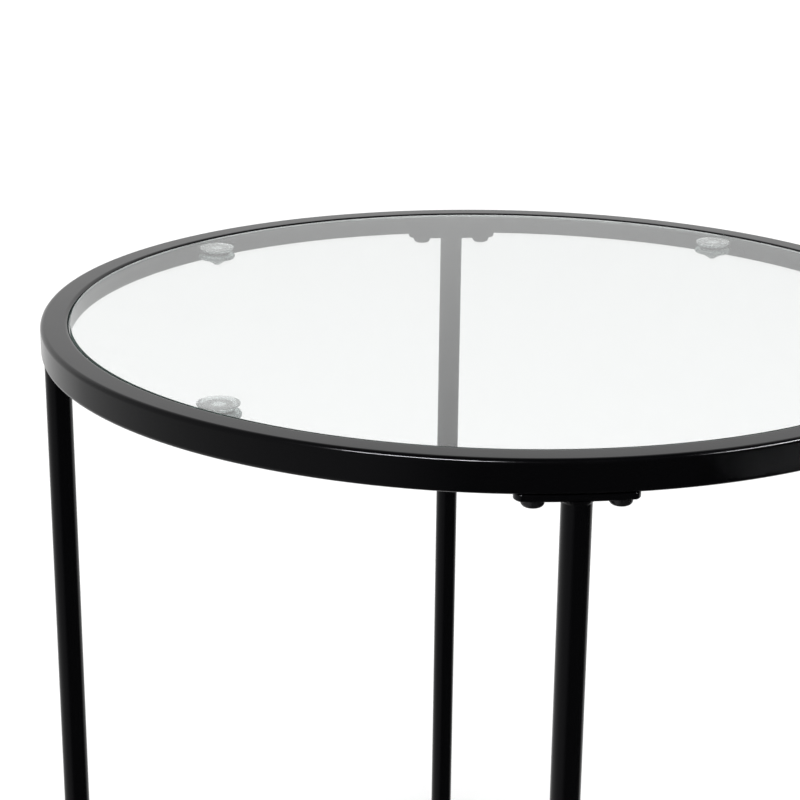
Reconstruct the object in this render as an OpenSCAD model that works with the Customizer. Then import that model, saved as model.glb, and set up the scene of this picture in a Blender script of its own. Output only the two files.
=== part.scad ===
// Nest of two round side tables with glass tops in black steel frames.
// Each table has a ring of rectangular tube, four round legs bolted under it,
// and a glass pane that lies inside the ring on four clear suction pads.
// The smaller table slides in under the larger one, between two of its legs.
// Z is up, the floor is Z = 0, and +X is the way the small table pulls out.

/* [Large table] */
// Outer diameter of the large ring
large_d = 600; // [500:10:800]
// Height of the large table's top face above the floor
large_h = 550; // [420:5:750]

/* [Nest] */
// Side clearance between the small table and the large table's legs
nest_clear = 7; // [4:0.5:40]
// Free height between the small top and the large table's lowest screw
nest_headroom = 41.5; // [37:0.5:120]
// Gap between the two rings when the small table is pulled out
pull_gap = 20; // [5:1:200]

/* [Ring] */
// Width of the ring's tube, across the table
ring_w = 18; // [14:0.5:26]
// Height of the ring's tube
ring_h = 20; // [18:0.5:32]
// Outside corner radius of the ring's tube
ring_corner = 3; // [2:0.1:4]
// Wall thickness of the ring's tube
ring_wall = 1.2; // [0.8:0.1:1.4]

/* [Glass] */
// Thickness of the glass panes
glass_t = 5; // [4:0.5:8]
// Gap between a pane's edge and its ring
glass_gap = 0.5; // [0.3:0.1:2]
// Depth of a pane's top face below the top of its ring
glass_sink = 0.6; // [0:0.1:3]
// Radius of the ground edges of a pane
glass_arris = 0.8; // [0.4:0.1:1.5]

/* [Glass supports] */
// Distance from the ring's inner wall to a pad's centre
pad_inset = 18; // [15:0.5:40]
// Diameter of a suction pad's cup
pad_d = 25; // [20:0.5:28]
// Diameter of the flange under its tab
pad_flange_d = 26.5; // [20:0.5:29]
// Height of the cup, from the tab up to the glass
pad_cup_h = 3; // [2.5:0.1:6]
// Depth of the hollow in the cup's face
pad_hollow = 0.8; // [0.4:0.1:1.2]
// Diameter of the waist that passes through the tab
pad_waist_d = 8; // [7:0.5:14]
// Thickness of the flange that grips the tab from below
pad_flange_t = 3.4; // [1.5:0.1:4]
// Length of the cone that guides the pad through the tab's hole
pad_cone_h = 3.5; // [3:0.1:8]
// Radius of the cone's rounded end
pad_tip_r = 1.4; // [0.8:0.1:2]
// Width of a support tab
tab_w = 18; // [16:0.5:24]
// Thickness of a support tab
tab_t = 2.2; // [2:0.1:4]
// Play around the waist in the tab's hole
tab_play = 0.2; // [0.1:0.05:0.5]

/* [Legs] */
// Outer diameter of a leg's tube
leg_d = 17; // [12:0.5:22]
// Wall thickness of a leg's tube
leg_wall = 1.2; // [0.8:0.1:2]
// Length of a leg's mounting plate, along the ring
plate_l = 68; // [60:1:90]
// Width of a mounting plate
plate_w = 16.5; // [14:0.5:26]
// Thickness of a mounting plate
plate_t = 4; // [3:0.5:6]
// Distance that a plate's outer edge stays inside the ring's outer wall
plate_reveal = 1; // [0.5:0.1:2]
// Size of the weld fillet between leg and plate
weld_r = 2.2; // [1:0.1:2.5]

/* [Screws] */
// Distance between a plate's two screws
screw_pitch = 47; // [40:1:54]
// Thread diameter of a screw
screw_d = 6; // [5:0.5:8]
// Length of a screw under its head
screw_l = 14; // [12:0.5:16]
// Diameter of a screw's rounded head
head_d = 13; // [11:0.5:14]
// Height of a screw's rounded head
head_h = 4.5; // [3:0.1:6]
// Radius of the head's rounded edge
head_round = 2.8; // [1:0.1:2.9]
// Width across flats of the hexagon socket in the head
socket_af = 4; // [3:0.5:5]
// Depth of the hexagon socket
socket_h = 2.2; // [1.5:0.1:3]
// Radial play of a screw in its plate
screw_play = 0.3; // [0.2:0.05:0.5]
// Radial play of a screw's thread in its insert
thread_play = 0.05; // [0.02:0.01:0.1]
// Outer diameter of a threaded insert
insert_d = 9; // [8:0.25:10]
// Length of a threaded insert
insert_l = 9; // [8:0.5:10]

/* [Feet] */
// Height of a foot's visible collar
foot_h = 4; // [2:0.5:8]
// Radius of the collar's bottom edge
foot_round = 1; // [0.5:0.1:1.5]
// Length of the plug inside the leg
plug_l = 12; // [8:1:20]
// Radial play of the plug in the leg
plug_play = 0.1; // [0.05:0.05:0.3]

/* [Hidden] */
$fn = 96;
COUNT = 4;
STEP = 360 / COUNT;
LEG_START = STEP / 2;
overcut = 1;
coat = [0.06, 0.06, 0.065];

ring_band = ring_w / 2;
leg_gap = 2 * (large_d / 2 - ring_band) * sin(LEG_START) - leg_d;
small_d = 2 * floor(leg_gap / 2 - nest_clear);
small_h = large_h - ring_h - plate_t - head_h - nest_headroom;
span = large_d + pull_gap + small_d;
large_x = (large_d - span) / 2;
small_x = (span - small_d) / 2;
tab_top = glass_sink + glass_t + pad_cup_h;
tab_hole_d = pad_waist_d + 2 * tab_play;

TABLES = ["large", "small"];
SINGLES = ["ring", "glass", "screws", "inserts"];
FOURS = ["tab", "pad", "leg", "plate", "foot"];

function top_d(t) = t == "large" ? large_d : small_d;
function top_h(t) = t == "large" ? large_h : small_h;
function centre_x(t) = t == "large" ? large_x : small_x;
function outer_r(t) = top_d(t) / 2;
function inner_r(t) = outer_r(t) - ring_w;
function leg_r(t) = outer_r(t) - ring_band;
function pad_r(t) = inner_r(t) - pad_inset;
function under_ring(t) = top_h(t) - ring_h;
function under_plate(t) = under_ring(t) - plate_t;
function leg_angle(k) = LEG_START + STEP * (k - 1);
function pad_angle(k) = STEP * (k - 1);

// Stands its children on the centre line of one table.
module on_table(t) {
    translate([centre_x(t), 0, 0])
        children();
}

// Turns its children to one leg's place on the ring.
module at_leg(t, k) {
    rotate([0, 0, leg_angle(k)])
        translate([leg_r(t), 0, 0])
            children();
}

// Turns its children to one pad's place inside the ring.
module at_pad(t, k) {
    rotate([0, 0, pad_angle(k)])
        translate([pad_r(t), 0, 0])
            children();
}

// Repeats its children at both screws of a plate.
module at_screws() {
    for (side = [-1, 1])
        translate([0, side * screw_pitch / 2, 0])
            children();
}

// Rectangle with true arcs at its corners, its lower left corner at the origin.
module rounded_rect(w, h, r) {
    translate([r, 0])
        square([w - 2 * r, h]);
    translate([0, r])
        square([w, h - 2 * r]);
    for (x = [r, w - r])
        for (y = [r, h - r])
            translate([x, y])
                circle(r);
}

// Section of the ring's hollow tube.
module ring_section() {
    difference() {
        rounded_rect(ring_w, ring_h, ring_corner);
        translate([ring_wall, ring_wall])
            rounded_rect(ring_w - 2 * ring_wall, ring_h - 2 * ring_wall, ring_corner - ring_wall);
    }
}

// Rolled ring of rectangular tube, drilled underneath for the threaded inserts.
module ring(t) {
    color(coat)
        difference() {
            translate([0, 0, under_ring(t)])
                rotate_extrude()
                    translate([inner_r(t), 0])
                        ring_section();
            for (k = [1:COUNT])
                at_leg(t, k)
                    at_screws()
                        translate([0, 0, under_ring(t) - overcut])
                            cylinder(h = ring_wall + 2 * overcut, d = insert_d);
        }
}

// Round pane with ground edges, a little below the top of its ring.
module glass(t) {
    pane_r = inner_r(t) - glass_gap;
    color([0.78, 0.9, 0.87, 0.35])
        translate([0, 0, top_h(t) - glass_sink - glass_t])
            rotate_extrude() {
                square([pane_r - glass_arris, glass_t]);
                translate([0, glass_arris])
                    square([pane_r, glass_t - 2 * glass_arris]);
                for (z = [glass_arris, glass_t - glass_arris])
                    translate([pane_r - glass_arris, z])
                        circle(glass_arris);
            }
}

// Steel tab welded to the ring's inner wall, with a hole for the pad's waist.
module tab(t, k) {
    color(coat)
        translate([0, 0, top_h(t) - tab_top - tab_t])
            intersection() {
                cylinder(h = tab_t, r = inner_r(t));
                at_pad(t, k)
                    difference() {
                        union() {
                            cylinder(h = tab_t, d = tab_w);
                            translate([0, -tab_w / 2, 0])
                                cube([pad_inset + overcut, tab_w, tab_t]);
                        }
                        translate([0, 0, -overcut])
                            cylinder(h = tab_t + 2 * overcut, d = tab_hole_d);
                    }
            }
}

// Half section of a suction pad, with its waist centred in the tab from zero down.
module pad_section() {
    lip_t = pad_cup_h / 3;
    cup_r = pad_d / 2;
    neck_r = cup_r * 0.84;
    flange_top = -tab_t;
    flange_bottom = flange_top - pad_flange_t;
    flange_r = pad_flange_d / 2;
    cone_r = flange_r * 0.7;
    difference() {
        union() {
            translate([0, pad_cup_h - lip_t])
                square([cup_r - lip_t / 2, lip_t]);
            translate([cup_r - lip_t / 2, pad_cup_h - lip_t / 2])
                circle(lip_t / 2);
            polygon([[0, 0], [neck_r, 0], [cup_r - lip_t / 2, pad_cup_h - lip_t], [0, pad_cup_h - lip_t]]);
        }
        polygon([[-overcut, pad_cup_h + overcut], [cup_r - 2 * lip_t, pad_cup_h + overcut],
            [cup_r - 2 * lip_t, pad_cup_h], [0, pad_cup_h - pad_hollow], [-overcut, pad_cup_h - pad_hollow]]);
    }
    translate([0, flange_top])
        square([pad_waist_d / 2, tab_t]);
    translate([0, flange_bottom])
        square([flange_r - pad_flange_t / 2, pad_flange_t]);
    translate([flange_r - pad_flange_t / 2, flange_bottom + pad_flange_t / 2])
        circle(pad_flange_t / 2);
    polygon([[0, flange_bottom], [cone_r, flange_bottom],
        [pad_tip_r, flange_bottom - pad_cone_h], [0, flange_bottom - pad_cone_h]]);
}

// Clear suction pad: a cup under the glass, a waist in the tab and a flange below it.
module pad(t, k) {
    color([0.82, 0.87, 0.85, 0.6])
        at_pad(t, k)
            translate([0, 0, top_h(t) - tab_top]) {
                rotate_extrude()
                    intersection() {
                        pad_section();
                        translate([0, -pad_d])
                            square([pad_d, 2 * pad_d]);
                    }
                translate([0, 0, -tab_t - pad_flange_t - pad_cone_h])
                    sphere(pad_tip_r);
            }
}

// Straight leg of round tube, open at both ends.
module leg(t, k) {
    leg_h = under_plate(t) - foot_h;
    color(coat)
        at_leg(t, k)
            translate([0, 0, foot_h])
                difference() {
                    cylinder(h = leg_h, d = leg_d);
                    translate([0, 0, -overcut])
                        cylinder(h = leg_h + 2 * overcut, d = leg_d - 2 * leg_wall);
                }
}

// Outline of a mounting plate, round at both ends and cut to the ring's curve outside.
module plate_outline(t) {
    end_y = (plate_l - plate_w) / 2;
    intersection() {
        union() {
            square([plate_w, 2 * end_y], center = true);
            for (side = [-1, 1])
                translate([0, side * end_y])
                    circle(d = plate_w);
        }
        translate([-leg_r(t), 0])
            circle(outer_r(t) - plate_reveal);
    }
}

// Mounting plate, and the weld fillets that join it to the leg.
module plate(t, k) {
    color(coat)
        at_leg(t, k) {
            translate([0, 0, under_plate(t)])
                difference() {
                    linear_extrude(plate_t)
                        plate_outline(t);
                    at_screws()
                        translate([0, 0, -overcut])
                            cylinder(h = plate_t + 2 * overcut, r = screw_d / 2 + screw_play);
                }
            translate([0, 0, under_plate(t) - weld_r])
                intersection() {
                    linear_extrude(weld_r)
                        plate_outline(t);
                    rotate_extrude()
                        translate([leg_d / 2, 0])
                            difference() {
                                square(weld_r);
                                translate([weld_r, 0])
                                    circle(weld_r);
                            }
                }
        }
}

// Half section of a screw's head, its seat at zero and its rounded edge below.
module head_section() {
    flat_r = head_d / 2 - head_round;
    translate([0, -head_h])
        square([flat_r, head_h]);
    translate([0, head_round - head_h])
        square([head_d / 2, head_h - head_round]);
    intersection() {
        translate([flat_r, head_round - head_h])
            circle(head_round);
        translate([0, -head_h])
            square([head_d / 2, head_h]);
    }
}

// Screw with a rounded head and a hexagon socket, its seat at zero and its shank up.
module screw() {
    cylinder(h = screw_l, d = screw_d);
    difference() {
        rotate_extrude()
            head_section();
        translate([0, 0, -head_h - overcut])
            cylinder(h = socket_h + overcut, d = socket_af / cos(30), $fn = 6);
    }
}

// The eight screws that hold one table's plates.
module screws(t) {
    color([0.1, 0.1, 0.11])
        for (k = [1:COUNT])
            at_leg(t, k)
                at_screws()
                    translate([0, 0, under_plate(t)])
                        screw();
}

// The eight threaded inserts in one ring's underside.
module inserts(t) {
    color("silver")
        for (k = [1:COUNT])
            at_leg(t, k)
                at_screws()
                    translate([0, 0, under_ring(t)])
                        difference() {
                            cylinder(h = insert_l, d = insert_d);
                            translate([0, 0, -overcut])
                                cylinder(h = insert_l + 2 * overcut, r = screw_d / 2 + thread_play);
                        }
}

// Plastic foot: a collar under the leg with a plug inside the tube.
module foot(t, k) {
    collar_r = leg_d / 2;
    plug_r = collar_r - leg_wall - plug_play;
    color([0.12, 0.12, 0.12])
        at_leg(t, k)
            rotate_extrude() {
                square([collar_r - foot_round, foot_h]);
                translate([0, foot_round])
                    square([collar_r, foot_h - foot_round]);
                intersection() {
                    translate([collar_r - foot_round, foot_round])
                        circle(foot_round);
                    square([collar_r, foot_h]);
                }
                square([plug_r, foot_h + plug_l]);
            }
}

for (t = TABLES) {
    on_table(t) ring(t);
    on_table(t) glass(t);
    on_table(t) screws(t);
    on_table(t) inserts(t);
    for (k = [1:COUNT]) {
        on_table(t) tab(t, k);
        on_table(t) pad(t, k);
        on_table(t) leg(t, k);
        on_table(t) plate(t, k);
        on_table(t) foot(t, k);
    }
}
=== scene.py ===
import math

import bmesh
import bpy
from mathutils import Matrix, Vector


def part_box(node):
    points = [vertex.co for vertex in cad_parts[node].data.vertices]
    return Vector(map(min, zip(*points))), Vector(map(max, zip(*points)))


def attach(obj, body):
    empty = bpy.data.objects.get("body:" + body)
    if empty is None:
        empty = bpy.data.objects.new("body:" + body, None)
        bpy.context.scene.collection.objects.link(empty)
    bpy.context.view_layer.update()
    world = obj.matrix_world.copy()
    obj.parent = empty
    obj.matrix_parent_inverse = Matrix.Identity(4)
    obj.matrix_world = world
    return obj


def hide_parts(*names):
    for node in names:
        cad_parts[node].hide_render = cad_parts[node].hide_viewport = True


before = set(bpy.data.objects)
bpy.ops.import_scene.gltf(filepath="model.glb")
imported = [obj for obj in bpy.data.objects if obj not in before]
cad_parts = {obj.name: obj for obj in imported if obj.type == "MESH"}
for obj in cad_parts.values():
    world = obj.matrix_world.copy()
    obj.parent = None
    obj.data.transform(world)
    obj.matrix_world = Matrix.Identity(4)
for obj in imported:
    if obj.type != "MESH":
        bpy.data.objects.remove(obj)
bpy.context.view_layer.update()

# ---------------------------------------------------------------- camera
# It stands in front of the large table, a little above its glass, and looks
# down across the ring to the upper ends of three of its legs.
ring_low, ring_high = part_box("large_ring")
large_axis = (ring_low + ring_high) / 2
camera_distance = 1.2745
camera_rise = 0.3452
camera_bearing = math.radians(-53.285)
look_bearing = math.radians(129.706)
look_down = math.radians(17.862)
camera_roll = math.radians(0.582)

camera_data = bpy.data.cameras.new("camera")
camera_data.sensor_width = 36.0
camera_data.lens = 89.95
camera_data.clip_end = 60.0
camera = bpy.data.objects.new("camera", camera_data)
bpy.context.scene.collection.objects.link(camera)
camera_place = Vector((
    large_axis.x + camera_distance * math.cos(camera_bearing),
    large_axis.y + camera_distance * math.sin(camera_bearing),
    ring_high.z + camera_rise,
))
camera.matrix_world = (
    Matrix.Translation(camera_place)
    @ Matrix.Rotation(look_bearing - math.pi / 2, 4, "Z")
    @ Matrix.Rotation(math.pi / 2 - look_down, 4, "X")
    @ Matrix.Rotation(camera_roll, 4, "Z")
)
bpy.context.scene.camera = camera

# ---------------------------------------------------------------- studio
# A wide pale floor, a soft overhead light, two long strip lights in front, and a
# room that is bright near the horizon, so that glass and black metal mirror it.
bpy.context.scene.view_settings.view_transform = "Standard"

floor_half = 30.0
floor_shape = bmesh.new()
bmesh.ops.create_grid(floor_shape, x_segments=1, y_segments=1, size=floor_half)
floor_mesh = bpy.data.meshes.new("floor")
floor_shape.to_mesh(floor_mesh)
floor_shape.free()
floor = bpy.data.objects.new("floor", floor_mesh)
bpy.context.scene.collection.objects.link(floor)
floor.visible_glossy = False
floor_paper = bpy.data.materials.new("floor_paper")
floor_paper.use_nodes = True
paper = floor_paper.node_tree.nodes["Principled BSDF"]
paper.inputs["Base Color"].default_value = (0.9, 0.9, 0.9, 1.0)
paper.inputs["Roughness"].default_value = 0.9
paper.inputs["Specular IOR Level"].default_value = 0.0
floor_mesh.materials.append(floor_paper)

overhead = bpy.data.lights.new("overhead", "SUN")
overhead.energy = 3.26
overhead.angle = math.radians(70)
overhead_lamp = bpy.data.objects.new("overhead", overhead)
overhead_lamp.rotation_euler = (math.radians(14), math.radians(12), 0.0)
overhead_lamp.visible_glossy = False
bpy.context.scene.collection.objects.link(overhead_lamp)

# Name, bearing from the camera's own bearing, height angle, length, power.
strip_lights = (
    ("strip_left", -19.0, 36.0, 1.35, 230.0),
    ("strip_right", 82.0, 36.0, 2.3, 190.0),
)
strip_reach = 2.6
strip_breadth = 0.14
strip_lit = bpy.data.collections.new("strip_lit")
for name, side, height_angle, length, power in strip_lights:
    strip = bpy.data.lights.new(name, "AREA")
    strip.shape = "RECTANGLE"
    strip.size = length
    strip.size_y = strip_breadth
    strip.energy = power
    strip_lamp = bpy.data.objects.new(name, strip)
    bearing = camera_bearing + math.radians(side)
    up = math.radians(height_angle)
    outward = Vector((math.cos(bearing) * math.cos(up), math.sin(bearing) * math.cos(up), math.sin(up)))
    strip_lamp.matrix_world = (
        Matrix.Translation(Vector((large_axis.x, large_axis.y, ring_high.z)) + outward * strip_reach)
        @ Matrix.Rotation(bearing + math.pi / 2, 4, "Z")
        @ Matrix.Rotation(math.pi / 2 - up, 4, "X")
    )
    strip_lamp.visible_diffuse = False
    strip_lamp.light_linking.receiver_collection = strip_lit
    bpy.context.scene.collection.objects.link(strip_lamp)

room = bpy.data.worlds.new("room")
bpy.context.scene.world = room
room.use_nodes = True
room_nodes = room.node_tree
room_nodes.nodes.clear()
direction = room_nodes.nodes.new("ShaderNodeTexCoord")
height = room_nodes.nodes.new("ShaderNodeSeparateXYZ")
bands = room_nodes.nodes.new("ShaderNodeValToRGB")
bands.color_ramp.elements[0].position = 0.0
bands.color_ramp.elements[0].color = (0.8, 0.8, 0.8, 1.0)
bands.color_ramp.elements[1].position = 1.0
bands.color_ramp.elements[1].color = (0.4, 0.4, 0.4, 1.0)
for position, grey in ((0.42, 0.78), (0.62, 0.6), (0.88, 0.5)):
    band = bands.color_ramp.elements.new(position)
    band.color = (grey, grey, grey, 1.0)
# The room is bright on its far side and on its left. Each row is a bearing, the
# cosines between which the light comes up, and how bright it gets there.
bright_sides = (
    (0.0, 0.2, 0.65, 1.0),
    (math.pi / 2, 0.1, 0.6, 0.8),
)
near_side_light = 0.06
shares = []
for turn, begins, full, share in bright_sides:
    toward = room_nodes.nodes.new("ShaderNodeVectorMath")
    toward.operation = "DOT_PRODUCT"
    toward.inputs[1].default_value = (math.cos(look_bearing + turn), math.sin(look_bearing + turn), 0.0)
    lit_share = room_nodes.nodes.new("ShaderNodeMapRange")
    lit_share.interpolation_type = "SMOOTHSTEP"
    lit_share.inputs["From Min"].default_value = begins
    lit_share.inputs["From Max"].default_value = full
    lit_share.inputs["To Min"].default_value = near_side_light
    lit_share.inputs["To Max"].default_value = share
    room_nodes.links.new(direction.outputs["Generated"], toward.inputs[0])
    room_nodes.links.new(toward.outputs["Value"], lit_share.inputs["Value"])
    shares.append(lit_share)
brighter = room_nodes.nodes.new("ShaderNodeMath")
brighter.operation = "MAXIMUM"
lit_by = room_nodes.nodes.new("ShaderNodeBackground")
seen_as = room_nodes.nodes.new("ShaderNodeBackground")
seen_as.inputs["Color"].default_value = (1.0, 1.0, 1.0, 1.0)
ray = room_nodes.nodes.new("ShaderNodeLightPath")
either = room_nodes.nodes.new("ShaderNodeMixShader")
room_out = room_nodes.nodes.new("ShaderNodeOutputWorld")
room_nodes.links.new(direction.outputs["Generated"], height.inputs[0])
room_nodes.links.new(height.outputs["Z"], bands.inputs["Fac"])
room_nodes.links.new(bands.outputs["Color"], lit_by.inputs["Color"])
room_nodes.links.new(shares[0].outputs["Result"], brighter.inputs[0])
room_nodes.links.new(shares[1].outputs["Result"], brighter.inputs[1])
room_nodes.links.new(brighter.outputs["Value"], lit_by.inputs["Strength"])
room_nodes.links.new(ray.outputs["Is Camera Ray"], either.inputs["Fac"])
room_nodes.links.new(lit_by.outputs["Background"], either.inputs[1])
room_nodes.links.new(seen_as.outputs["Background"], either.inputs[2])
room_nodes.links.new(either.outputs["Shader"], room_out.inputs["Surface"])

# ---------------------------------------------------------------- rings
# Each table's ring is rectangular steel tube, rolled to a circle, butt welded
# and powder coated gloss black. It carries the glass and the four legs.
TABLES = ("large", "small")
COUNT = 4


def table_axis(table):
    low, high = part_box(table + "_ring")
    return Vector(((low.x + high.x) / 2, (low.y + high.y) / 2, 0.0))


def ring_radius(table):
    low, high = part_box(table + "_ring")
    return round((high.x - low.x) / 2, 4)


def turned(outline, axis, steps, segments=6):
    """A shape turned about an upright axis from corners of (radius, height, rounding)."""
    shape = bmesh.new()
    corners = [shape.verts.new((axis.x + r, axis.y, z)) for r, z, _ in outline]
    shape.faces.new(corners)
    for corner, (_, _, rounding) in zip(corners, outline):
        if rounding:
            bmesh.ops.bevel(
                shape, geom=[corner], offset=rounding, offset_type="OFFSET",
                segments=segments, profile=0.5, affect="VERTICES", material=-1)
    bmesh.ops.delete(shape, geom=shape.faces[:], context="FACES_ONLY")
    on_axis = [e for e in shape.edges if all(abs(v.co.x - axis.x) < 1e-7 for v in e.verts)]
    bmesh.ops.delete(shape, geom=on_axis, context="EDGES")
    bmesh.ops.spin(
        shape, geom=shape.verts[:] + shape.edges[:], cent=axis, axis=(0, 0, 1),
        dvec=(0, 0, 0), angle=math.tau, steps=steps, space=Matrix(),
        use_merge=True, use_normal_flip=False, use_duplicate=False)
    bmesh.ops.remove_doubles(shape, verts=shape.verts[:], dist=1e-6)
    bmesh.ops.recalc_face_normals(shape, faces=shape.faces[:])
    return shape


def piece(name, shape, material, slot, body, *nodes):
    """Makes a finished, smooth-shaded object that stands for CAD nodes and rides on a body."""
    mesh = bpy.data.meshes.new(name)
    shape.to_mesh(mesh)
    shape.free()
    mesh.shade_smooth()
    mesh.set_sharp_from_angle(angle=math.radians(50))
    mesh.materials.append(material)
    made = bpy.data.objects.new(name, mesh)
    bpy.context.scene.collection.objects.link(made)
    crisp = made.modifiers.new("crisp", "WEIGHTED_NORMAL")
    crisp.keep_sharp = True
    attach(made, body)
    if slot in ("frame_black", "screw_black"):
        strip_lit.objects.link(made)
    if nodes:
        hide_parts(*nodes)
    return made


def plain_material(name, colour, roughness, specular):
    """A material with one Principled shader, returned with its node tree and shader."""
    material = bpy.data.materials.new(name)
    material.use_nodes = True
    nodes = material.node_tree
    shader = nodes.nodes["Principled BSDF"]
    shader.inputs["Base Color"].default_value = (*colour, 1.0)
    shader.inputs["Roughness"].default_value = roughness
    shader.inputs["Specular IOR Level"].default_value = specular
    return material, nodes, shader


def noise(nodes, scale, detail):
    """A noise pattern in the piece's own coordinates; scale counts its cells in a metre."""
    place = nodes.nodes.new("ShaderNodeTexCoord")
    pattern = nodes.nodes.new("ShaderNodeTexNoise")
    pattern.inputs["Scale"].default_value = scale
    pattern.inputs["Detail"].default_value = detail
    nodes.links.new(place.outputs["Object"], pattern.inputs["Vector"])
    return pattern.outputs["Fac"]


def spread(nodes, value, low, high):
    """Maps a pattern's middle range, 0.3 to 0.7, to low and high."""
    mapped = nodes.nodes.new("ShaderNodeMapRange")
    mapped.inputs["From Min"].default_value = 0.3
    mapped.inputs["From Max"].default_value = 0.7
    mapped.inputs["To Min"].default_value = low
    mapped.inputs["To Max"].default_value = high
    nodes.links.new(value, mapped.inputs["Value"])
    return mapped.outputs["Result"]


def uneven_gloss(nodes, shader, pattern, low, high):
    """Lets the roughness wander between low and high with a pattern."""
    nodes.links.new(spread(nodes, pattern, low, high), shader.inputs["Roughness"])


def bump(nodes, shader, value, depth, strength):
    """Raises the surface by a pattern, depth in metres."""
    raised = nodes.nodes.new("ShaderNodeBump")
    raised.inputs["Strength"].default_value = strength
    raised.inputs["Distance"].default_value = depth
    nodes.links.new(value, raised.inputs["Height"])
    nodes.links.new(raised.outputs["Normal"], shader.inputs["Normal"])


def black_coat(name, roughness, depth):
    """Gloss black powder coat: its orange peel is in its bump, and it mirrors most at a low angle."""
    material, nodes, shader = plain_material(name, (0.0018, 0.0018, 0.0021), roughness, 0.5)
    shader.inputs["IOR"].default_value = 1.5
    shader.inputs["Specular Tint"].default_value = (0.16, 0.16, 0.17, 1.0)
    uneven_gloss(nodes, shader, noise(nodes, 45.0, 3.0), roughness - 0.04, roughness + 0.04)
    bump(nodes, shader, noise(nodes, 650.0, 2.0), depth, 0.5)
    return material


coat = black_coat("black_powder_coat", 0.13, 0.00003)

ring_w = 0.018
ring_corner = 0.003
ring_steps = 288

for table in TABLES:
    outer = ring_radius(table)
    low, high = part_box(table + "_ring")
    section = [
        (outer - ring_w, low.z, ring_corner),
        (outer, low.z, ring_corner),
        (outer, high.z, ring_corner),
        (outer - ring_w, high.z, ring_corner),
    ]
    shape = turned(section, table_axis(table), ring_steps)
    piece(table + "_ring_tube", shape, coat, "frame_black", table + "_frame", table + "_ring")

# ---------------------------------------------------------------- tabs
# Four flat steel tabs are welded to the inner wall of each ring, edge on, and
# coated with it. A pad is pushed through the hole in each tab's round end.
pad_inset = 0.018
tab_w = 0.018
tab_t = 0.0022
tab_hole_r = 0.0042
tab_bite = 0.0005
tab_edge = 0.0003


def pad_place(table, k):
    """From a pad's own axis, with its outward way along X, to its place on a table."""
    reach = ring_radius(table) - ring_w - pad_inset
    turn = math.tau / COUNT * (k - 1)
    return (
        Matrix.Translation(table_axis(table))
        @ Matrix.Rotation(turn, 4, "Z")
        @ Matrix.Translation((reach, 0.0, 0.0))
    )


def flat_piece(shape, thickness, rounding):
    """Fills the outlines drawn at height zero, gives the sheet its thickness, and breaks its edges."""
    filled = bmesh.ops.triangle_fill(shape, use_beauty=True, use_dissolve=False, edges=shape.edges[:])
    sheet = [f for f in filled["geom"] if isinstance(f, bmesh.types.BMFace)]
    raised = bmesh.ops.extrude_face_region(shape, geom=sheet)
    risen = [v for v in raised["geom"] if isinstance(v, bmesh.types.BMVert)]
    bmesh.ops.translate(shape, verts=risen, vec=(0.0, 0.0, thickness))
    bmesh.ops.recalc_face_normals(shape, faces=shape.faces[:])
    corners = [e for e in shape.edges if e.calc_face_angle(0.0) > math.radians(60)]
    bmesh.ops.bevel(
        shape, geom=corners, offset=rounding, offset_type="OFFSET",
        segments=3, profile=0.5, affect="EDGES", material=-1)


for table in TABLES:
    for k in range(1, COUNT + 1):
        node = table + "_tab_" + str(k)
        tab_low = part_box(node)[0].z
        shape = bmesh.new()
        half = tab_w / 2
        root = pad_inset + tab_bite
        bar = [(-half, -half), (root, -half), (root, half), (-half, half)]
        corners = [shape.verts.new((x, y, 0.0)) for x, y in bar]
        shape.faces.new(corners)
        for corner in (corners[0], corners[3]):
            bmesh.ops.bevel(
                shape, geom=[corner], offset=half - 1e-6, offset_type="OFFSET",
                segments=14, profile=0.5, affect="VERTICES", material=-1)
        bmesh.ops.delete(shape, geom=shape.faces[:], context="FACES_ONLY")
        bmesh.ops.remove_doubles(shape, verts=shape.verts[:], dist=1e-5)
        bmesh.ops.create_circle(shape, cap_ends=False, segments=40, radius=tab_hole_r)
        flat_piece(shape, tab_t, tab_edge)
        shape.transform(pad_place(table, k) @ Matrix.Translation((0.0, 0.0, tab_low)))
        piece(table + "_tab_strip_" + str(k), shape, coat, "frame_black", table + "_frame", node)

# ---------------------------------------------------------------- pads
# Each pad is moulded in one piece from clear soft PVC: a shallow suction cup
# under the glass, a waist in the tab, and a flange and cone that hold it there.
cup_r = 0.0125
cup_h = 0.003
cup_hollow = 0.0002
lip_t = 0.001
waist_r = 0.004
flange_r = 0.01325
flange_t = 0.0034
cone_h = 0.0035
tip_r = 0.0014

clear_pvc, pvc_nodes, pvc_shader = plain_material("clear_pvc", (0.56, 0.63, 0.61), 0.25, 0.5)
pvc_shader.inputs["IOR"].default_value = 1.48
pvc_shader.inputs["Transmission Weight"].default_value = 0.72
# Painted light: the face pressed on the glass is painted near white for the light shining through it, and
# the body below the lip is painted grey-green, the PVC's tint darkened as painted shade.
painted_shade_below_lip = pvc_nodes.nodes.new("ShaderNodeAttribute")
painted_shade_below_lip.attribute_name = "painted_shade_below_lip"
pvc_tint_and_painted_light = pvc_nodes.nodes.new("ShaderNodeValToRGB")
pvc_tint_and_painted_light.color_ramp.elements[0].color = (0.98, 0.99, 0.99, 1.0)
pvc_tint_and_painted_light.color_ramp.elements[1].color = (0.42, 0.49, 0.48, 1.0)
pvc_nodes.links.new(painted_shade_below_lip.outputs["Fac"], pvc_tint_and_painted_light.inputs["Fac"])
pvc_nodes.links.new(pvc_tint_and_painted_light.outputs["Color"], pvc_shader.inputs["Base Color"])
uneven_gloss(pvc_nodes, pvc_shader, noise(pvc_nodes, 300.0, 2.0), 0.18, 0.32)
bump(pvc_nodes, pvc_shader, noise(pvc_nodes, 420.0, 1.0), 0.00002, 0.3)

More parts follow.
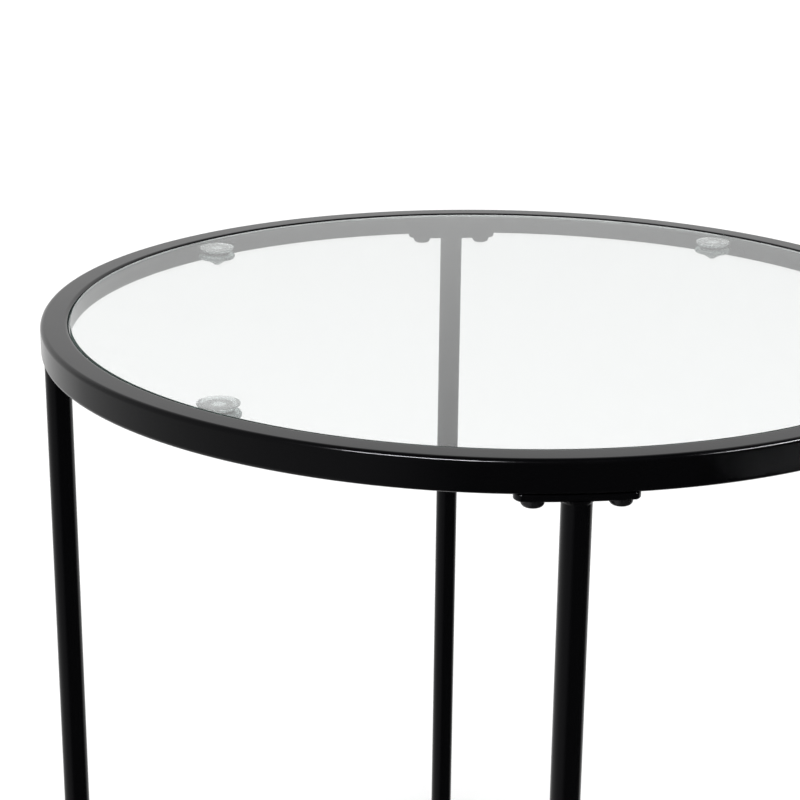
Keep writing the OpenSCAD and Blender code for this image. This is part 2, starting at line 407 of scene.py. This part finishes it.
for table in TABLES:
    for k in range(1, COUNT + 1):
        node = table + "_pad_" + str(k)
        tab_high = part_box(table + "_tab_" + str(k))[1].z
        flange_top = -tab_t
        flange_low = flange_top - flange_t
        tip_low = flange_low - cone_h - tip_r
        profile = [
            (0.0, cup_h - cup_hollow, 0.0),
            (cup_r - 2 * lip_t, cup_h, 0.0001),
            (cup_r, cup_h, 0.0004),
            (cup_r, cup_h - lip_t, 0.0004),
            (cup_r * 0.84, 0.0, 0.0002),
            (waist_r, 0.0, 0.0),
            (waist_r, flange_top, 0.0),
            (flange_r, flange_top, flange_t * 0.48),
            (flange_r, flange_low, flange_t * 0.48),
            (flange_r * 0.7, flange_low, 0.0003),
            (tip_r * 1.15, tip_low, tip_r * 0.6),
            (0.0, tip_low, 0.0),
        ]
        shape = turned(profile, Vector((0.0, 0.0, 0.0)), 64, segments=5)
        # The painted light mask is 0 on the pressed face, which is painted near white, and rises to 1 down
        # the cup and below it, where the grey is painted shade.
        shade = shape.verts.layers.float.new("painted_shade_below_lip")
        for v in shape.verts:
            v[shade] = min(max((cup_h - v.co.z) / cup_h, 0.0), 1.0) if v.co.xy.length > waist_r else 1.0
            if v.co.z > cup_h - cup_hollow - 0.00001:
                v[shade] = 0.0
        shape.transform(pad_place(table, k) @ Matrix.Translation((0.0, 0.0, tab_high)))
        piece(table + "_suction_pad_" + str(k), shape, clear_pvc, "clear_pad", table + "_frame", node)

# ---------------------------------------------------------------- panes
# Each top is a round pane of 5 mm float glass, its edge ground to a satin finish.
# It lies loose on four suction pads, just below the top of its ring.
pane_glass, pane_nodes, pane_shader = plain_material("float_glass", (1.0, 1.0, 1.0), 0.0, 0.5)
pane_shader.inputs["IOR"].default_value = 1.5
pane_shader.inputs["Transmission Weight"].default_value = 1.0
tint = pane_nodes.nodes.new("ShaderNodeVolumeAbsorption")
tint.inputs["Color"].default_value = (0.3, 0.425, 0.385, 1.0)
tint.inputs["Density"].default_value = 20.0
pane_nodes.links.new(tint.outputs["Volume"], pane_nodes.nodes["Material Output"].inputs["Volume"])
# The ground edge is satin, and it shows the green of the glass.
satin = pane_nodes.nodes.new("ShaderNodeAttribute")
satin.attribute_name = "ground"
satin_roughness = pane_nodes.nodes.new("ShaderNodeMapRange")
satin_roughness.inputs["To Max"].default_value = 0.5
satin_colour = pane_nodes.nodes.new("ShaderNodeValToRGB")
satin_colour.color_ramp.elements[0].color = (1.0, 1.0, 1.0, 1.0)
satin_colour.color_ramp.elements[1].color = (0.3, 0.5, 0.44, 1.0)
pane_nodes.links.new(satin.outputs["Fac"], satin_roughness.inputs["Value"])
pane_nodes.links.new(satin.outputs["Fac"], satin_colour.inputs["Fac"])
pane_nodes.links.new(satin_roughness.outputs["Result"], pane_shader.inputs["Roughness"])
pane_nodes.links.new(satin_colour.outputs["Color"], pane_shader.inputs["Base Color"])

glass_gap = 0.0005
glass_arris = 0.0003
# A pane has play in its ring, and lies this far to one side of the middle.
glass_shift = 0.0004

for table in TABLES:
    low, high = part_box(table + "_glass")
    pane_radius = ring_radius(table) - ring_w - glass_gap
    section = [
        (0.0, low.z, 0.0),
        (pane_radius, low.z, glass_arris),
        (pane_radius, high.z, glass_arris),
        (0.0, high.z, 0.0),
    ]
    axis = table_axis(table)
    shape = turned(section, axis, ring_steps, segments=4)
    ground = shape.verts.layers.float.new("ground")
    flat_radius = pane_radius - glass_arris * 0.9
    for v in shape.verts:
        v[ground] = 1.0 if math.hypot(v.co.x - axis.x, v.co.y - axis.y) > flat_radius else 0.0
    shape.transform(Matrix.Translation((glass_shift, 0.0, 0.0)))
    pane = piece(table + "_pane", shape, pane_glass, "top_glass", table + "_pane", table + "_glass")
    pane.visible_shadow = False
    pane.visible_diffuse = False

# ---------------------------------------------------------------- legs
# Each leg is a straight length of round steel tube, cut square and coated. Its
# upper end is welded to a mounting plate and its lower end takes a plastic foot.
leg_r = 0.0085
leg_wall = 0.0012
leg_cut_edge = 0.0002
leg_foot_edge = 0.0004
leg_steps = 72


def leg_place(table, k):
    """From a leg's own axis, with its outward way along X, to its place under a ring."""
    reach = ring_radius(table) - ring_w / 2
    turn = math.tau / COUNT * (k - 0.5)
    return (
        Matrix.Translation(table_axis(table))
        @ Matrix.Rotation(turn, 4, "Z")
        @ Matrix.Translation((reach, 0.0, 0.0))
    )


for table in TABLES:
    for k in range(1, COUNT + 1):
        node = table + "_leg_" + str(k)
        low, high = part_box(node)
        tube = [
            (leg_r - leg_wall, low.z, leg_cut_edge),
            (leg_r, low.z, leg_foot_edge),
            (leg_r, high.z, leg_cut_edge),
            (leg_r - leg_wall, high.z, leg_cut_edge),
        ]
        shape = turned(tube, Vector((0.0, 0.0, 0.0)), leg_steps, segments=3)
        shape.transform(leg_place(table, k))
        piece(table + "_leg_tube_" + str(k), shape, coat, "frame_black", table + "_frame", node)

# ---------------------------------------------------------------- plates
# A flat steel plate with round ends tops each leg. The leg is welded under its
# middle, and two screws through the plate hold it to the underside of the ring.
plate_l = 0.068
plate_w = 0.0165
plate_t = 0.004
plate_edge = 0.0007
plate_reveal = 0.001
plate_hole_r = 0.0033
screw_pitch = 0.047
weld_r = 0.0022
weld_bite = 0.0003
weld_ripples = 30
weld_steps = 120

for table in TABLES:
    for k in range(1, COUNT + 1):
        node = table + "_plate_" + str(k)
        plate_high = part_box(node)[1].z
        shape = bmesh.new()
        across = plate_w / 2
        along = plate_l / 2
        outline = ((-across, -along), (across, -along), (across, along), (-across, along))
        corners = [shape.verts.new((x, y, 0.0)) for x, y in outline]
        shape.faces.new(corners)
        for corner in corners:
            bmesh.ops.bevel(
                shape, geom=[corner], offset=across - 1e-6, offset_type="OFFSET",
                segments=14, profile=0.5, affect="VERTICES", material=-1)
        bmesh.ops.delete(shape, geom=shape.faces[:], context="FACES_ONLY")
        bmesh.ops.remove_doubles(shape, verts=shape.verts[:], dist=1e-5)
        # The outer edge is cut to a curve that runs just inside the ring's outer wall.
        long_edges = [e for e in shape.edges if e.calc_length() > plate_l / 3]
        bmesh.ops.subdivide_edges(shape, edges=long_edges, cuts=24)
        curve = ring_radius(table) - plate_reveal
        middle = ring_radius(table) - ring_w / 2
        for v in shape.verts:
            v.co.x = min(v.co.x, math.sqrt(curve * curve - v.co.y * v.co.y) - middle)
        for side in (-1, 1):
            bmesh.ops.create_circle(
                shape, cap_ends=False, segments=32, radius=plate_hole_r,
                matrix=Matrix.Translation((0.0, side * screw_pitch / 2, 0.0)))
        flat_piece(shape, plate_t, plate_edge)
        # The weld bead runs round the leg. It is broad at the sides and thin where the plate ends.
        fillet = [
            (leg_r - 0.0004, weld_bite, 0.0),
            (leg_r + weld_r, weld_bite, 0.0),
            (leg_r + weld_r * 0.45, -weld_r * 0.5, 0.0006),
            (leg_r - 0.0001, -weld_r, 0.0002),
        ]
        bead = turned(fillet, Vector((0.0, 0.0, 0.0)), weld_steps, segments=3)
        for v in bead.verts:
            out = math.hypot(v.co.x, v.co.y)
            angle = math.atan2(v.co.y, v.co.x)
            if out > leg_r:
                breadth = 0.22 + 0.78 * abs(math.sin(angle)) ** 1.5 + 0.05 * math.sin(weld_ripples * angle)
                kept = (leg_r + (out - leg_r) * breadth) / out
                v.co.x *= kept
                v.co.y *= kept
        weld_mesh = bpy.data.meshes.new("weld")
        bead.to_mesh(weld_mesh)
        bead.free()
        shape.from_mesh(weld_mesh)
        bpy.data.meshes.remove(weld_mesh)
        shape.transform(leg_place(table, k) @ Matrix.Translation((0.0, 0.0, plate_high - plate_t)))
        piece(table + "_leg_plate_" + str(k), shape, coat, "frame_black", table + "_frame", node)

# ---------------------------------------------------------------- screws
# Two M6 screws hold each plate. Their broad round-edged heads have a hexagon
# socket and are black oxide steel, a little glossier than the coat round them.
head_r = 0.0065
head_h = 0.0045
head_round = 0.0028
shank_r = 0.003
shank_l = 0.014
shank_point = 0.0006
socket_r = 0.004 / math.sqrt(3)
socket_h = 0.0022
face_r = 0.0032
screw_steps = 48

black_oxide, oxide_nodes, oxide_shader = plain_material("black_oxide", (0.006, 0.006, 0.0065), 0.22, 0.5)
oxide_shader.inputs["IOR"].default_value = 1.6
oxide_shader.inputs["Specular Tint"].default_value = (0.5, 0.5, 0.52, 1.0)
uneven_gloss(oxide_nodes, oxide_shader, noise(oxide_nodes, 900.0, 2.0), 0.16, 0.3)
bump(oxide_nodes, oxide_shader, noise(oxide_nodes, 2200.0, 1.0), 0.00002, 0.4)

one_screw = bmesh.new()
bmesh.ops.create_uvsphere(one_screw, u_segments=screw_steps, v_segments=40, radius=head_r)
face_cut = -math.sqrt(head_r * head_r - face_r * face_r)
for cut, away in ((0.0, 1.0), (face_cut, -1.0)):
    bmesh.ops.bisect_plane(
        one_screw, geom=one_screw.verts[:] + one_screw.edges[:] + one_screw.faces[:], dist=1e-6,
        plane_co=(0, 0, cut), plane_no=(0, 0, away), clear_outer=True)
seat = [e for e in one_screw.edges if e.is_boundary and all(v.co.z > -1e-6 for v in e.verts)]
rim = [e for e in one_screw.edges if e.is_boundary and all(v.co.z < -1e-4 for v in e.verts)]
# The half ball is pressed to the head's own section: flat below, with a round edge.
for v in one_screw.verts:
    beyond_flat = min(max(math.hypot(v.co.x, v.co.y) - head_r + head_round, 0.0), head_round)
    v.co.z = head_round - head_h - math.sqrt(head_round * head_round - beyond_flat * beyond_flat)
hexagon = bmesh.ops.create_circle(
    one_screw, cap_ends=False, segments=6, radius=socket_r, matrix=Matrix.Translation((0.0, 0.0, -head_h)))
sides = list({e for v in hexagon["verts"] for e in v.link_edges})
bmesh.ops.subdivide_edges(one_screw, edges=sides, cuts=screw_steps // 6 - 1)
mouth = [e for e in one_screw.edges if e.is_wire]
bmesh.ops.bridge_loops(one_screw, edges=rim + mouth)
# Each step shrinks the open edge and raises it: the head's side, its seat, the shank and its point.
shank_steps = (
    (1.0, head_h - head_round),
    (shank_r / head_r, 0.0),
    (1.0, shank_l - shank_point),
    (0.8, shank_point),
)
for edges, steps in ((mouth, ((1.0, socket_h),)), (seat, shank_steps)):
    for shrink, rise in steps:
        grown = bmesh.ops.extrude_edge_only(one_screw, edges=edges)
        ring_verts = [v for v in grown["geom"] if isinstance(v, bmesh.types.BMVert)]
        edges = [e for e in grown["geom"] if isinstance(e, bmesh.types.BMEdge)]
        bmesh.ops.scale(one_screw, vec=(shrink, shrink, 1.0), verts=ring_verts)
        bmesh.ops.translate(one_screw, vec=(0.0, 0.0, rise), verts=ring_verts)
    bmesh.ops.edgeloop_fill(one_screw, edges=edges)
bmesh.ops.recalc_face_normals(one_screw, faces=one_screw.faces[:])
screw_mesh = bpy.data.meshes.new("screw")
one_screw.to_mesh(screw_mesh)
one_screw.free()

for table in TABLES:
    shape = bmesh.new()
    for k in range(1, COUNT + 1):
        plate_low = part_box(table + "_plate_" + str(k))[1].z - plate_t
        for side in (-1, 1):
            before = len(shape.verts)
            shape.from_mesh(screw_mesh)
            shape.verts.ensure_lookup_table()
            # The sockets stop at whatever angle the screws were tight at.
            tightened = Matrix.Rotation(math.radians(17 * k + 23 * side), 4, "Z")
            hole = Matrix.Translation((0.0, side * screw_pitch / 2, plate_low))
            spot = leg_place(table, k) @ hole @ tightened
            bmesh.ops.transform(shape, matrix=spot, verts=shape.verts[before:])
    node = table + "_screws"
    piece(table + "_round_head_screws", shape, black_oxide, "screw_black", table + "_frame", node)
bpy.data.meshes.remove(screw_mesh)

# ---------------------------------------------------------------- inserts
# Threaded steel inserts are set in the ring's lower wall for the screws. They
# are zinc plated, and the plates and the tube hide them once a leg is on.
zinc, zinc_nodes, zinc_shader = plain_material("zinc_plate", (0.62, 0.62, 0.6), 0.35, 0.5)
zinc_shader.inputs["Metallic"].default_value = 1.0
uneven_gloss(zinc_nodes, zinc_shader, noise(zinc_nodes, 700.0, 3.0), 0.28, 0.45)
bump(zinc_nodes, zinc_shader, noise(zinc_nodes, 1800.0, 2.0), 0.00002, 0.4)
for table in TABLES:
    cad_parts[table + "_inserts"].material_slots[0].material = zinc

# ---------------------------------------------------------------- feet
# A moulded black plastic foot plugs the lower end of each leg. Its collar is as
# wide as the tube, and its bottom edge is rounded so that it slides on a floor.
foot_h = 0.004
foot_round = 0.001
plug_r = 0.0072
plug_l = 0.012

foot_plastic, foot_nodes, foot_shader = plain_material("moulded_plastic", (0.012, 0.012, 0.012), 0.5, 0.4)
uneven_gloss(foot_nodes, foot_shader, noise(foot_nodes, 500.0, 2.0), 0.45, 0.62)
bump(foot_nodes, foot_shader, noise(foot_nodes, 3000.0, 1.0), 0.00005, 0.5)

for table in TABLES:
    for k in range(1, COUNT + 1):
        moulding = [
            (0.0, 0.0, 0.0),
            (leg_r, 0.0, foot_round),
            (leg_r, foot_h, 0.0002),
            (plug_r, foot_h, 0.0),
            (plug_r, foot_h + plug_l, 0.0006),
            (0.0, foot_h + plug_l, 0.0),
        ]
        shape = turned(moulding, Vector((0.0, 0.0, 0.0)), leg_steps, segments=4)
        shape.transform(leg_place(table, k))
        node = table + "_foot_" + str(k)
        piece(table + "_foot_cap_" + str(k), shape, foot_plastic, "foot_plastic", table + "_frame", node)
